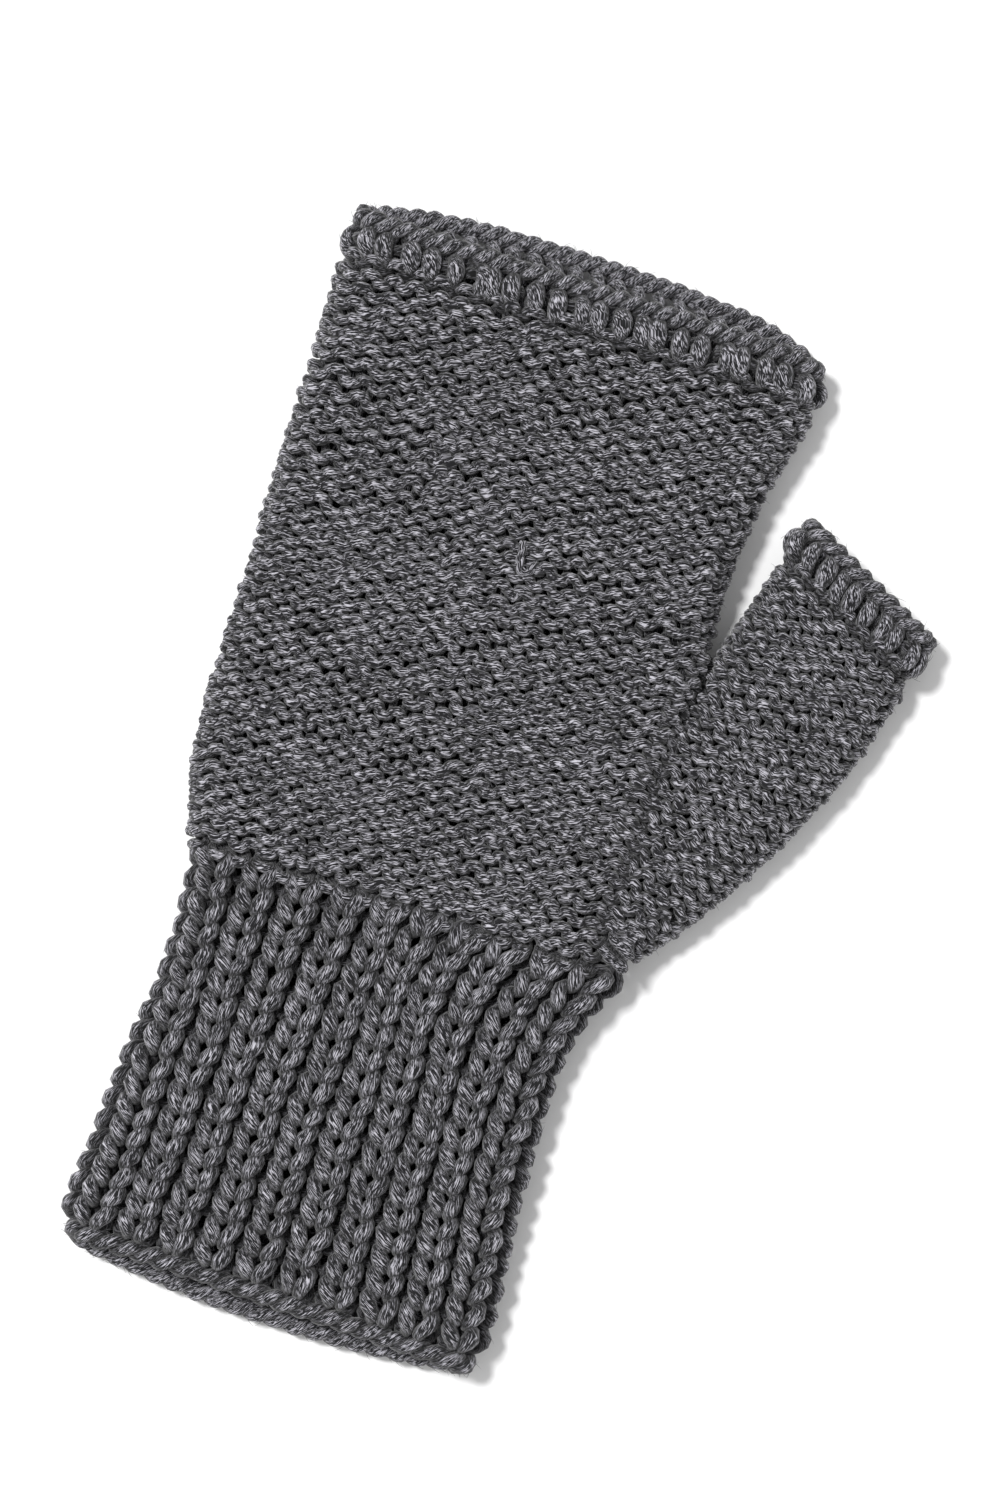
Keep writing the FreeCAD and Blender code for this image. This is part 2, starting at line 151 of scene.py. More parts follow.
class Bundle:
    """Collects swept yarns, and makes one mesh of them."""

    def __init__(self):
        self.co = []
        self.quads = []
        self.uv = []
        self.lift = []
        self.caps = []
        self.count = 0

    def sweep(self, path, radius, closed, start=0.0, out=None, outward=None, proud=1.0, sides=None):
        """Adds yarns along path (rows x points x 3, mm). radius is one number or rows x points.

        out is how far the yarn's middle stands off the fabric's own middle and outward the direction of that.
        They give how deep each spot lies, for painted shade that darkens the wool's colour deep in the
        fabric; proud, about the most that its surface stands off, is the height off the middle at and beyond
        which a spot gets no painted shade.
        """
        sides = sides or SIDES
        rows, n, _ = path.shape
        tan, one, two = transport(path, closed)
        ang = TAU * np.arange(sides) / sides
        rad = np.broadcast_to(np.asarray(radius, float), (rows, n))[..., None, None]
        ring = one[:, :, None] * np.cos(ang)[None, None, :, None]
        ring = ring + two[:, :, None] * np.sin(ang)[None, None, :, None]
        co = path[:, :, None] + rad * ring
        # pressed flat where it lies on the table
        co[..., 2] = 0.5 * (co[..., 2] + np.sqrt(co[..., 2] ** 2 + TABLE_SOFTNESS))
        self.co.append(co.reshape(-1, 3))
        # painted shade level: 0 deep in the fabric to 1 at proud off its middle; the wool's colour is
        # darkened where it is low, standing in for the shade between the loops, and yarns given no out get
        # none
        if out is None:
            lift = np.ones((rows, n, sides))
        else:
            lift = (rad * ring * outward[:, :, None]).sum(3) + out[..., None]
            lift = np.clip(np.abs(lift) / proud, 0, 1)
        step = np.linalg.norm(np.diff(path, axis=1), axis=2)
        along = np.concatenate([np.zeros((rows, 1)), np.cumsum(step, 1)], 1)
        along += start + 137.0 * np.arange(rows)[:, None]
        segs = n if closed else n - 1
        r, i, k = np.meshgrid(np.arange(rows), np.arange(segs), np.arange(sides), indexing="ij")
        i2, k2 = (i + 1) % n, (k + 1) % sides

        def vert(ii, kk):
            return self.count + (r * n + ii) * sides + kk

        quad = np.stack([vert(i, k), vert(i, k2), vert(i2, k2), vert(i2, k)], -1).reshape(-1, 4)
        self.quads.append(quad)
        u1 = along[r, i]
        gap = np.linalg.norm(path[:, 0] - path[:, -1], axis=1)
        u2 = np.where(i + 1 < n, along[r, np.minimum(i + 1, n - 1)], u1 + gap[r])
        v1, v2 = k / sides, (k + 1) / sides
        uv = np.stack([np.stack([u1, v1], -1), np.stack([u1, v2], -1),
                       np.stack([u2, v2], -1), np.stack([u2, v1], -1)], -2)
        self.uv.append(uv.reshape(-1, 2))
        # each face corner's painted shade level
        deep = np.stack([lift[r, i, k], lift[r, i, k2], lift[r, i2, k2], lift[r, i2, k]], -1)
        self.lift.append(deep.ravel())
        if not closed:
            for row in range(rows):
                base = self.count + row * n * sides
                self.caps.append(([base + s for s in range(sides)][::-1], along[row, 0]))
                tip = base + (n - 1) * sides
                self.caps.append(([tip + s for s in range(sides)], along[row, -1]))
        self.count += rows * n * sides

    def fuzz(self, count, seed, reach=1.7):
        """Loose fibres: thin closed tubes that stand off random spots of the yarns swept so far."""
        rng = np.random.default_rng(seed)
        co = np.concatenate(self.co)
        quads = np.concatenate(self.quads)
        spot = rng.choice(len(quads), count)
        corner = co[quads[spot]]
        away = np.cross(corner[:, 1] - corner[:, 0], corner[:, 3] - corner[:, 0])
        away /= np.linalg.norm(away, axis=1, keepdims=True)
        lay = corner[:, 3] - corner[:, 0]
        lay /= np.linalg.norm(lay, axis=1, keepdims=True)
        lay *= rng.choice([-1.0, 1.0], (count, 1))
        wild = rng.normal(0, 0.5, (count, 3))
        length = reach * rng.uniform(0.5, 1.5, (count, 1))
        f = np.linspace(0, 1, 5)[None, :, None]
        rise = (away * 0.45 + wild * 0.25)[:, None] * f * (1.25 - 0.6 * f)
        root = corner.mean(1)[:, None] - 0.08 * away[:, None]
        path = root + length[:, None] * (lay[:, None] * f * 0.9 + rise)
        path[..., 2] = np.maximum(path[..., 2], 0.05)
        taper = (1.15 - 0.8 * np.linspace(0, 1, 5))[None]
        self.sweep(path, HAIR_R * taper, False, start=HAIR_START, sides=3)

    def make(self, name, material):
        """The mesh object."""
        co = np.concatenate(self.co) * MM
        quads = np.concatenate(self.quads)
        uv = np.concatenate(self.uv)
        loops = [quads.ravel()]
        starts = [np.arange(len(quads)) * 4]
        uvs = [uv]
        painted_shade_lifts = list(self.lift)
        at = len(quads) * 4
        for ring, along in self.caps:
            loops.append(np.array(ring))
            starts.append(np.array([at]))
            uvs.append(np.stack([np.full(len(ring), along), np.arange(len(ring)) / len(ring)], -1))
            # the caps on yarn ends get a middling painted shade level
            painted_shade_lifts.append(np.full(len(ring), 0.5))
            at += len(ring)
        loops, starts, uvs = np.concatenate(loops), np.concatenate(starts), np.concatenate(uvs)
        me = bpy.data.meshes.new(name)
        me.vertices.add(len(co))
        me.vertices.foreach_set("co", co.astype(np.float32).ravel())
        me.loops.add(len(loops))
        me.loops.foreach_set("vertex_index", loops.astype(np.int32))
        me.polygons.add(len(starts))
        me.polygons.foreach_set("loop_start", starts.astype(np.int32))
        me.update(calc_edges=True)
        layer = me.uv_layers.new(name="yarn")
        layer.data.foreach_set("uv", uvs.astype(np.float32).ravel())
        # the painted shade levels reach the wool's material as a uv layer
        layer = me.uv_layers.new(name="lift")
        painted_shade_lifts = np.concatenate(painted_shade_lifts)
        layer.data.foreach_set("uv", np.stack([painted_shade_lifts, painted_shade_lifts], -1).astype(np.float32).ravel())
        me.shade_smooth()
        me.materials.append(material)
        ob = bpy.data.objects.new(name, me)
        bpy.context.scene.collection.objects.link(ob)
        return ob


# ---------------------------------------------------------------- shape of the mitt
# Each edge is the outside of the mitt: how far along, then how far across.
hand_left = edge((-26, -58.4), (-22, -59.5), (-16, -61.4), (-8, -63.5), (4, -64.4), (30, -64.7), (60, -65.1),
                 (84, -65.3), (90, -66.0), (94, -65.0), (98, -66.2), (103, -65.6))
hand_right = edge((36, 25.2), (44, 24.7), (54, 24.4), (62, 24.9), (74, 26.4), (82, 28.4), (86, 30.2),
                  (90, 30.4), (92.5, 29.6), (95, 31.2), (99, 31.0), (103, 28.0))
cuff_left = edge((-104, -60.1), (-99, -60.9), (-88, -60.3), (-76, -59.4), (-62, -58.5), (-52, -57.0),
                 (-40, -56.7), (-30, -57.5), (-22, -58.9))
cuff_right = edge((-104, 25.8), (-98, 25.7), (-88, 24.9), (-74, 23.5), (-60, 22.8), (-50, 22.3), (-40, 22.7),
                  (-34, 24.2), (-29, 26.0), (-25, 29.0), (-20, 32.0))
thumb_right = edge((-58, 30.6), (-55, 31.4), (-41, 34.1), (-27, 35.9), (-10, 36.4), (6, 35.2), (21, 32.2),
                   (25, 31.0), (29, 31.4), (34, 30.4))
thumb_left = edge((0, 1.2), (6, 0.2), (13, -1.2), (18, -2.0), (21.5, -2.0), (25, -4.8), (29, -5.8),
                  (34, -5.2))
SLOPE = 0.4373  # the gusset's join runs across the thumb's own direction
ROLL = HAND_R * math.pi / 2
CREASE = 26.0  # how far the crease below the crotch runs down before it flattens out
BACK_HEM_LONGER = 5.6  # the lower layer reaches further than the upper at the fingers
BACK_CUFF_LONGER = 4.2  # and at the wrist

sink_a = waves(11, 2, 60.0)
sink_b = waves(12, 3, 45.0)


def roll_angle(down):
    """How far the fabric rolls under beside the join, from none to a quarter turn at the crotch."""
    return np.maximum(math.pi / 2 * (1 - ramp(down, 0.0, CREASE)), 2e-3)


def hand_surface(u, v, n):
    """u 0 to 1 from the thumb side over the top, round the little-finger side and back underneath."""
    left = hand_left(v) + HAND_HALF
    turn = roll_angle(CROTCH[1] - v)
    join = np.interp(v, [WRIST_Y - 3, CROTCH[1]], [20.6, CROTCH[0] - 0.2])
    end = np.where(v > CROTCH[1], hand_right(v) - 2.0, join)
    k = ROLL / turn
    start = end - k * np.sin(turn)
    flat = start - left
    half = ROLL + flat + HAND_R * math.pi / 2
    s = u * 2 * half
    low = s > half
    s = np.where(low, 2 * half - s, s)
    side = np.where(low, -1.0, 1.0)
    th = turn * (1 - s / ROLL)
    bend = np.clip((s - ROLL - flat) / HAND_R, 0, math.pi / 2)
    x = np.where(s < ROLL, start + k * np.sin(th), start - (s - ROLL))
    z = np.where(s < ROLL, HAND_R - k * (1 - np.cos(th)), HAND_R)
    nx = np.where(s < ROLL, np.sin(th), 0.0)
    nz = np.where(s < ROLL, np.cos(th), 1.0)
    arc = s > ROLL + flat
    x = np.where(arc, left - HAND_R * np.sin(bend), x)
    z = np.where(arc, HAND_R * np.cos(bend), z)
    nx = np.where(arc, -np.sin(bend), nx)
    nz = np.where(arc, np.cos(bend), nz)
    mid = HAND_HALF + 0.2 + 0.45 * ramp(v, 82, 94) + 0.45 * ramp(-v, -WRIST_Y - 8, -WRIST_Y + 2)
    inner = ramp(s, 4, 22) * (1 - ramp(s, half - 22, half - 4))
    droop = np.where(low, 0.0, 0.9 + 0.45 * sink_a(u, v)) * inner * (1 - 0.5 * ramp(v, 70, 92))
    bow = np.clip(1 - np.abs((x + 19) / 49) ** 3, 0, None)
    longer_back = np.where(low, BACK_HEM_LONGER, 0.0) * bow * ramp(v, 50, 96) * ramp(np.abs(s), 0, 8)
    y = v - 1.4 * ramp(x, 17, 31) * ramp(v, 88, 95) + longer_back
    pinch = 0.5 * ramp(v, 88.5, 91.5) * (1 - ramp(v, 92.5, 95.0))
    return np.stack([x + nx * (n - pinch), y, mid + side * (z + nz * (n - pinch)) - droop], -1)


def thumb_surface(s, a, n):
    """s is mm round from the thumb's outer side, over the top where positive.

    a is mm along the thumb, below 0 on the gusset.
    """
    right = thumb_right(a) - HAND_HALF
    turn = roll_angle(-a * 1.05)
    shut = thumb_left(np.maximum(a, 0)) + 2.0
    end = np.where(a > 0, shut, -SLOPE * a + shut * (turn / (math.pi / 2)) ** 1.5)
    k = ROLL / turn
    start = end + k * np.sin(turn)
    flat = np.maximum(right - start, 0.3)
    side = np.where(s < 0, -1.0, 1.0)
    t = np.abs(s)
    psi = np.clip(t / HAND_R, 0, math.pi / 2)
    b = right + HAND_R * np.cos(psi)
    z = HAND_R * np.sin(psi)
    nb, nz = np.cos(psi), np.sin(psi)
    on_flat = t > ROLL
    b = np.where(on_flat, right - (t - ROLL), b)
    z = np.where(on_flat, HAND_R, z)
    nb = np.where(on_flat, 0.0, nb)
    nz = np.where(on_flat, 1.0, nz)
    over = t - ROLL - flat
    th = turn * np.minimum(over / ROLL, 1.0)
    roll = over > 0
    extra = np.maximum(over - ROLL, 0)
    b = np.where(roll, start - k * np.sin(th) - extra * np.cos(th), b)
    z = np.where(roll, HAND_R - k * (1 - np.cos(th)) - extra * np.sin(th), z)
    nb = np.where(roll, -np.sin(th), nb)
    nz = np.where(roll, np.cos(th), nz)
    mid = HAND_HALF + 0.2 + 0.45 * ramp(a, 15, 26)
    pinch = 0.5 * ramp(a, 20.0, 22.5) * (1 - ramp(a, 24.0, 26.0))
    droop = np.where(s > 0, 0.5 + 0.35 * sink_b(s / 70, a), 0.0) * ramp(t, 5, 14)
    b = b + nb * (n - pinch)
    z = mid + side * (z + nz * (n - pinch)) - droop
    return np.stack([CROTCH[0] + a * THUMB_A[0] + b * THUMB_B[0],
                     CROTCH[1] + a * THUMB_A[1] + b * THUMB_B[1], z], -1)


def cuff_surface(u, v, n):
    """u as on the hand, round the closed ribbed tube."""
    left = cuff_left(v) + CUFF_HALF
    right = cuff_right(v) - CUFF_HALF
    flat = right - left
    arc_l = CUFF_R * math.pi
    s = (u % 1.0) * 2 * (flat + arc_l) - arc_l / 2
    back = s > flat + arc_l
    c0 = s < 0
    c1 = (s > flat) & ~back
    psi = np.where(c0, s / CUFF_R, np.where(c1, (s - flat) / CUFF_R, 0.0))
    x = np.where(c0, right - CUFF_R * np.sin(psi), right - s)
    z = np.where(c0 | c1, CUFF_R * np.cos(psi), CUFF_R)
    x = np.where(c1, left - CUFF_R * np.sin(psi), x)
    nx = np.where(c0 | c1, -np.sin(psi), 0.0)
    nz = np.where(c0 | c1, np.cos(psi), 1.0)
    x = np.where(back, left + (s - flat - arc_l), x)
    past = back & (x > right)
    over = np.where(past, (x - right) / CUFF_R, 0.0)
    z = np.where(back, -CUFF_R * np.cos(over), z)
    nz = np.where(back, -np.cos(over), nz)
    nx = np.where(past, np.sin(over), nx)
    x = np.where(past, right + CUFF_R * np.sin(over), x)
    middle = ramp(x, left - 2, left + 16) * (1 - ramp(x, right - 16, right + 2))
    top = z > 0
    droop = np.where(top, 0.5 + 0.25 * sink_b(u, v), 0.0) * middle
    bow = np.clip(1 - ((x + 20) / 46) ** 2, 0, None)
    y = v - np.where(z < 0, BACK_CUFF_LONGER, 0.0) * bow * ramp(-v, 60, 102) * ramp(-z, 0, 4)
    y = y - 0.9 * ramp(-v, 85, 102) * (x + 17) / 40
    return np.stack([x + nx * n, y, CUFF_HALF + 0.15 + z + nz * n - droop], -1)


def laid(surface, along_a, along_b, out, radius):
    """A yarn laid on a surface: its path, thickness, height off the fabric's middle and outward direction."""
    path = surface(along_a, along_b, out)
    out = np.broadcast_to(out, path.shape[:2])
    outward = surface(along_a, along_b, out + 1.0) - path
    return {"path": path, "radius": radius, "out": out, "outward": outward}


# ---------------------------------------------------------------- stitches
SAMPLES = 15
SIDES = 8
HAND_STITCHES = 40
THUMB_STITCHES = 18
HAND_ROW = 2.88
THUMB_ROW = 2.95
GUSSET_STITCH = 3.95
HAND_YARN = 0.97
THUMB_YARN = 0.96
HAND_HEM_COURSE = 40  # the course behind the finger hem's bumps
THUMB_HEM_COURSE = 8
HEM_COURSE_SINK = 1.1  # how much deeper those two lie
LOOP_REACH = 0.74  # how far a loop reaches up and down, in rows


def purl_row(count, closed, lead=0.0):
    """Phase along a row of count stitches, one turn a stitch, with lead turns more at both ends if open."""
    if closed:
        return TAU * np.arange(count * SAMPLES) / SAMPLES
    n = int((count + 2 * lead) * SAMPLES)
    return TAU * np.linspace(-lead, count + lead, n + 1)


def purl(t, rows, high, deep, lean, seed):
    """One course of loops, purl side out: how far sideways (in stitches), up and out of the fabric."""
    rng = np.random.default_rng(seed)
    stitch = np.floor(t / TAU).astype(int)
    stitch -= stitch.min()
    count = stitch.max() + 3
    half = np.cos(t) < 0
    joint = np.where(np.sin(t) < 0, stitch + 1, stitch)
    top = rng.normal(0, 1, (rows, count))
    foot = rng.normal(0, 1, (rows, count))
    pull = np.where(half[None], top[:, stitch], foot[:, joint])
    side = lean * np.sin(2 * t)[None] * (1 + 0.10 * pull)
    up = -high * np.cos(t)[None] * (1 + 0.05 * pull)
    out = deep * np.cos(2 * t)[None]
    out = np.where(out > 0, out * (1 + 0.13 * pull), out)
    return side, up, out


sway_a, sway_b = waves(1, 16, 9.0, 22), waves(2, 16, 9.0, 22)
drift_a, drift_b = waves(3, 4, 40.0), waves(4, 4, 40.0)
thick_a = waves(5, 60, 3.0, 20)


def plump(t, u, v, radius):
    """Yarn is squeezed where loops cross and swells where it lies free on the surface."""
    return radius * (1 + 0.14 * np.cos(2 * t)[None] + 0.05 * thick_a(u, v))


def hand_rows(first, last, closed, seed):
    """Courses first to last of the hand, as rows x points x 3."""
    t = purl_row(HAND_STITCHES, closed, 0.30)
    rows = last - first
    side, up, out = purl(t, rows, LOOP_REACH * HAND_ROW, 1.15, 0.165, seed)
    row = np.arange(first, last)[:, None]
    u = (t[None] / TAU + side) / HAND_STITCHES
    v = WRIST_Y + 1.2 + HAND_ROW * row + up
    u2 = u + (0.10 * sway_a(u, v) + 0.16 * drift_a(u, v)) / HAND_STITCHES
    drift = 0.45 * drift_b(u, v) * ramp(v, WRIST_Y + 4, WRIST_Y + 24) * (1 - ramp(v, 70, 88))
    v2 = v + 0.22 * sway_b(u, v) + drift
    out = out - HEM_COURSE_SINK * (row == HAND_HEM_COURSE)
    if not closed:
        tuck = ramp(-u, -0.006, 0.004) + ramp(u, 0.994, 1.004)
        out = out - 1.2 * tuck
        u2 = np.where((u < 0.02) | (u > 0.98), u, u2)
    return laid(hand_surface, u2, v2, out, plump(t, u, v, HAND_YARN))


def thumb_round(a):
    """How far it is round the thumb's tube, through the middle of its fabric."""
    return 2 * (thumb_right(a) - thumb_left(a) - 2 * HAND_HALF) + TAU * HAND_R


def thumb_rows(first, last, seed):
    """Courses of the gusset (below the crotch) or of the thumb: a list of yarns, and whether each closes."""
    made = []
    for r in range(first, last):
        a0 = 1.6 + THUMB_ROW * r
        closed = a0 > 0.5
        if closed:
            t = purl_row(THUMB_STITCHES, True)
            side, up, out = purl(t, 1, LOOP_REACH * THUMB_ROW, 1.10, 0.17, seed + r)
            a = a0 + up
            out = out - HEM_COURSE_SINK * (r == THUMB_HEM_COURSE)
            s = (t[None] / TAU + side) / THUMB_STITCHES
            s = (s - 0.5) * thumb_round(a)
        else:
            t = TAU * np.linspace(-10, 10, 20 * SAMPLES + 1)
            side, up, out = purl(t, 1, LOOP_REACH * THUMB_ROW, 1.10, 0.17, seed + r)
            a = a0 + up
            s = (t[None] / TAU + side) * GUSSET_STITCH
            turn = roll_angle(-a * 1.05)
            shut = thumb_left(np.maximum(a, 0)) + 2.0
            end = -SLOPE * a + shut * (turn / (math.pi / 2)) ** 1.5
            k = ROLL / turn
            reach = ROLL + np.maximum(thumb_right(a) - HAND_HALF - end - k * np.sin(turn), 0.3) + ROLL
            keep = np.abs(s[0]) < reach[0] + 0.9
            where = np.nonzero(keep)[0]
            lo, hi = where.min(), where.max() + 1
            s, a = s[:, lo:hi], a[:, lo:hi]
            out, reach = out[:, lo:hi], reach[:, lo:hi]
            t = t[lo:hi]
            out = out - 1.3 * ramp(np.abs(s), reach - 1.4, reach + 0.8)
        s2 = s + 0.35 * sway_a(s / 70, a + 200) * 0.5
        a2 = a + 0.2 * sway_b(s / 70, a + 200)
        made.append((laid(thumb_surface, s2, a2, out, plump(t, s / 70, a, THUMB_YARN)), closed))
    return made


# ---------------------------------------------------------------- wool
def heather_and_painted_shade_group():
    """Fibres of several greys lying along a twisted yarn: their colour, darkened by painted shade deep in the
    fabric, and a bumped normal.
    """
    g = bpy.data.node_groups.new("heather_wool_with_painted_shade", "ShaderNodeTree")
    face = g.interface
    for name, kind, value in (
        ("Twist", "NodeSocketFloat", 0.5), ("Fibre Length", "NodeSocketFloat", 1.3),
        ("Fibre Width", "NodeSocketFloat", 0.13), ("Yarn Radius", "NodeSocketFloat", 0.9),
        ("Dark", "NodeSocketColor", (0.006, 0.006, 0.0075, 1)),
        ("Middle", "NodeSocketColor", (0.0247, 0.0240, 0.0282, 1)),
        ("Pale", "NodeSocketColor", (0.505, 0.495, 0.545, 1)),
        # Depth Shade: how much the painted shade darkens the wool lying deepest in the fabric
        ("Bump", "NodeSocketFloat", 0.9), ("Depth Shade", "NodeSocketFloat", 0.77),
    ):
        s = face.new_socket(name, in_out="INPUT", socket_type=kind)
        s.default_value = value
    for name, kind in (("Colour", "NodeSocketColor"), ("Normal", "NodeSocketVector")):
        face.new_socket(name, in_out="OUTPUT", socket_type=kind)
    N, L = g.nodes, g.links
    gin, gout = N.new("NodeGroupInput"), N.new("NodeGroupOutput")
    uv = N.new("ShaderNodeUVMap")
    uv.uv_map = "yarn"
    sep = N.new("ShaderNodeSeparateXYZ")
    L.new(uv.outputs["UV"], sep.inputs[0])

    def math_node(op, a, b=None, c=None):
        m = N.new("ShaderNodeMath")
        m.operation = op
        for i, x in enumerate((a, b, c)):
            if x is None:
                continue
            if isinstance(x, (int, float)):
                m.inputs[i].default_value = x
            else:
                L.new(x, m.inputs[i])
        return m.outputs[0]

    def along(scale_len, width, turn):
        twist = math_node("MULTIPLY", sep.outputs["X"], turn)
        ang = math_node("MULTIPLY_ADD", sep.outputs["Y"], TAU, twist)
        r = math_node("DIVIDE", gin.outputs["Yarn Radius"], width)
        cx = math_node("MULTIPLY", math_node("COSINE", ang), r)
        cy = math_node("MULTIPLY", math_node("SINE", ang), r)
        lx = math_node("DIVIDE", sep.outputs["X"], scale_len)
        comb = N.new("ShaderNodeCombineXYZ")
        L.new(lx, comb.inputs[0])
        L.new(cx, comb.inputs[1])
        L.new(cy, comb.inputs[2])
        return comb.outputs[0]

    def noise(vec, detail, rough):
        n = N.new("ShaderNodeTexNoise")
        n.inputs["Scale"].default_value = 1.0
        n.inputs["Detail"].default_value = detail
        n.inputs["Roughness"].default_value = rough
        L.new(vec, n.inputs["Vector"])
        return n.outputs["Fac"]

    lie = along(gin.outputs["Fibre Length"], gin.outputs["Fibre Width"], gin.outputs["Twist"])
    fine = noise(lie, 2.0, 0.42)
    wide_w = math_node("MULTIPLY", gin.outputs["Fibre Width"], 2.6)
    wide_l = math_node("MULTIPLY", gin.outputs["Fibre Length"], 1.6)
    coarse = noise(along(wide_l, wide_w, math_node("MULTIPLY", gin.outputs["Twist"], 0.8)), 1.0, 0.5)
    both = math_node("ADD", math_node("MULTIPLY", fine, 0.86), math_node("MULTIPLY", coarse, 0.14))
    spread = N.new("ShaderNodeValToRGB")
    spread.color_ramp.elements[0].position = 0.468
    spread.color_ramp.elements[0].color = (0, 0, 0, 1)
    spread.color_ramp.elements[1].position = 0.598
    spread.color_ramp.elements[1].color = (1, 1, 1, 1)
    L.new(both, spread.inputs[0])
    level = spread.outputs[0]
    low = N.new("ShaderNodeMapRange")
    low.inputs["From Min"].default_value = 0.0
    low.inputs["From Max"].default_value = 0.5
    L.new(level, low.inputs["Value"])
    high = N.new("ShaderNodeMapRange")
    high.inputs["From Min"].default_value = 0.45
    high.inputs["From Max"].default_value = 1.0
    L.new(level, high.inputs["Value"])
    m1 = N.new("ShaderNodeMix")
    m1.data_type = "RGBA"
    L.new(low.outputs[0], m1.inputs[0])
    L.new(gin.outputs["Dark"], m1.inputs[6])
    L.new(gin.outputs["Middle"], m1.inputs[7])
    m2 = N.new("ShaderNodeMix")
    m2.data_type = "RGBA"
    L.new(high.outputs[0], m2.inputs[0])
    L.new(m1.outputs[2], m2.inputs[6])
    L.new(gin.outputs["Pale"], m2.inputs[7])
    # painted shade: the colour is darkened by up to Depth Shade where the yarn's painted shade level falls
    # from 1 towards 0.38, standing in for the shade between the loops
    lift = N.new("ShaderNodeUVMap")
    lift.uv_map = "lift"
    painted_shade_lift_x = N.new("ShaderNodeSeparateXYZ")
    L.new(lift.outputs["UV"], painted_shade_lift_x.inputs[0])
    deep = N.new("ShaderNodeMapRange")
    deep.interpolation_type = "SMOOTHSTEP"
    deep.inputs["From Min"].default_value = 1.0
    deep.inputs["From Max"].default_value = 0.38
    L.new(painted_shade_lift_x.outputs["X"], deep.inputs["Value"])
    painted_shade_amount = math_node("MULTIPLY", deep.outputs[0], gin.outputs["Depth Shade"])
    shade = math_node("MULTIPLY_ADD", painted_shade_amount, -1.0, 1.0)
    colour_with_painted_shade = N.new("ShaderNodeVectorMath")
    colour_with_painted_shade.operation = "SCALE"
    L.new(m2.outputs[2], colour_with_painted_shade.inputs[0])
    L.new(shade, colour_with_painted_shade.inputs["Scale"])
    L.new(colour_with_painted_shade.outputs[0], gout.inputs["Colour"])
    bump = N.new("ShaderNodeBump")
    bump.inputs["Distance"].default_value = 0.0002
    L.new(gin.outputs["Bump"], bump.inputs["Strength"])
    L.new(both, bump.inputs["Height"])
    L.new(bump.outputs[0], gout.inputs["Normal"])
    return g


WOOL = heather_and_painted_shade_group()


def wool(name, radius, tone=1.0, twist=0.5, length=0.72, width=0.165, bump=1.0):
    """One yarn's material. radius is the yarn's in mm, and tone makes all of its greys lighter or darker."""
    m = bpy.data.materials.new(name)
    m.use_nodes = True
    nt = m.node_tree
    nt.nodes.clear()
    out = nt.nodes.new("ShaderNodeOutputMaterial")
    p = nt.nodes.new("ShaderNodeBsdfPrincipled")
    g = nt.nodes.new("ShaderNodeGroup")
    g.node_tree = WOOL
    g.inputs["Twist"].default_value = twist
    g.inputs["Fibre Length"].default_value = length
    g.inputs["Fibre Width"].default_value = width
    g.inputs["Yarn Radius"].default_value = radius
    g.inputs["Bump"].default_value = bump
    for key in ("Dark", "Middle", "Pale"):
        c = g.inputs[key].default_value
        g.inputs[key].default_value = (c[0] * tone, c[1] * tone, c[2] * tone, 1)
    nt.links.new(g.outputs["Colour"], p.inputs["Base Color"])
    nt.links.new(g.outputs["Normal"], p.inputs["Normal"])
    p.inputs["Roughness"].default_value = 0.85
    p.inputs["Specular IOR Level"].default_value = 0.25
    p.inputs["Sheen Weight"].default_value = 0.25
    p.inputs["Sheen Roughness"].default_value = 0.5
    nt.links.new(p.outputs[0], out.inputs[0])
    return m


hand_wool = wool("hand_wool", 0.93)
rib_wool = wool("rib_wool", 1.4, twist=0.45, length=0.85, width=0.145)
hem_wool = wool("hem_wool", 1.2, tone=0.93, twist=0.55, length=0.55, width=0.145)
loose_wool = wool("loose_wool", 0.6, twist=0.9, length=1.6)


def finish_piece(bundle, name, material, body, node=None, bend=None, fuzz=0):
    """Makes the mesh with its finish and hides the CAD node it stands for; it joins its body, or with bend
    has its place baked into the mesh instead.
    """
    if fuzz:
        bundle.fuzz(fuzz, len(name) * 31 + fuzz)
    ob = bundle.make(name, material)
    if node:
        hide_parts(node)
    if bend:
        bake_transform(ob)
    else:
        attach(ob, body)
    return ob


def thumb_point(a, b, z):
    """A place in metres: mm along the thumb from the crotch, across it and up."""
    p = CROTCH + a * THUMB_A + b * THUMB_B
    return (p[0] * MM, p[1] * MM, z * MM)


WRIST_BEND = ((-0.016, WRIST_Y * MM, 0.0075), (-0.016, (WRIST_Y - 24) * MM, 0.0075))
THUMB_BEND = (thumb_point(1, THUMB_MIDDLE, 7), thumb_point(21, THUMB_MIDDLE, 7))

# ---------------------------------------------------------------- hand
for name, first, last, closed in (("hand_courses_1", 0, 11, False), ("hand_courses_2", 11, 22, False),
                                  ("hand_courses_3", 22, 31, True), ("hand_courses_4", 31, 41, True)):
    b = Bundle()
    b.sweep(closed=closed, start=first * 137, proud=2.1, **hand_rows(first, last, closed, 100 + first))
    node = "hand_tube" if first == 0 else None
    finish_piece(b, name, hand_wool, "hand", node, fuzz=1500)

# ---------------------------------------------------------------- gusset and thumb
b = Bundle()
for i, (yarn, closed) in enumerate(thumb_rows(-18, 0, 300)):
    b.sweep(closed=closed, start=9000 + i * 137, proud=2.1, **yarn)
finish_piece(b, "gusset_courses", hand_wool, "hand", "thumb_gusset", fuzz=900)
b = Bundle()
for i, (yarn, closed) in enumerate(thumb_rows(0, 9, 340)):
    b.sweep(closed=closed, start=15000 + i * 137, proud=2.1, **yarn)
finish_piece(b, "thumb_courses", hand_wool, "thumb", "thumb_tube", THUMB_BEND, fuzz=700)

# ---------------------------------------------------------------- cuff
RIBS = 21
RIB_ROW = 4.45
RIB_WIDTH = 7.6


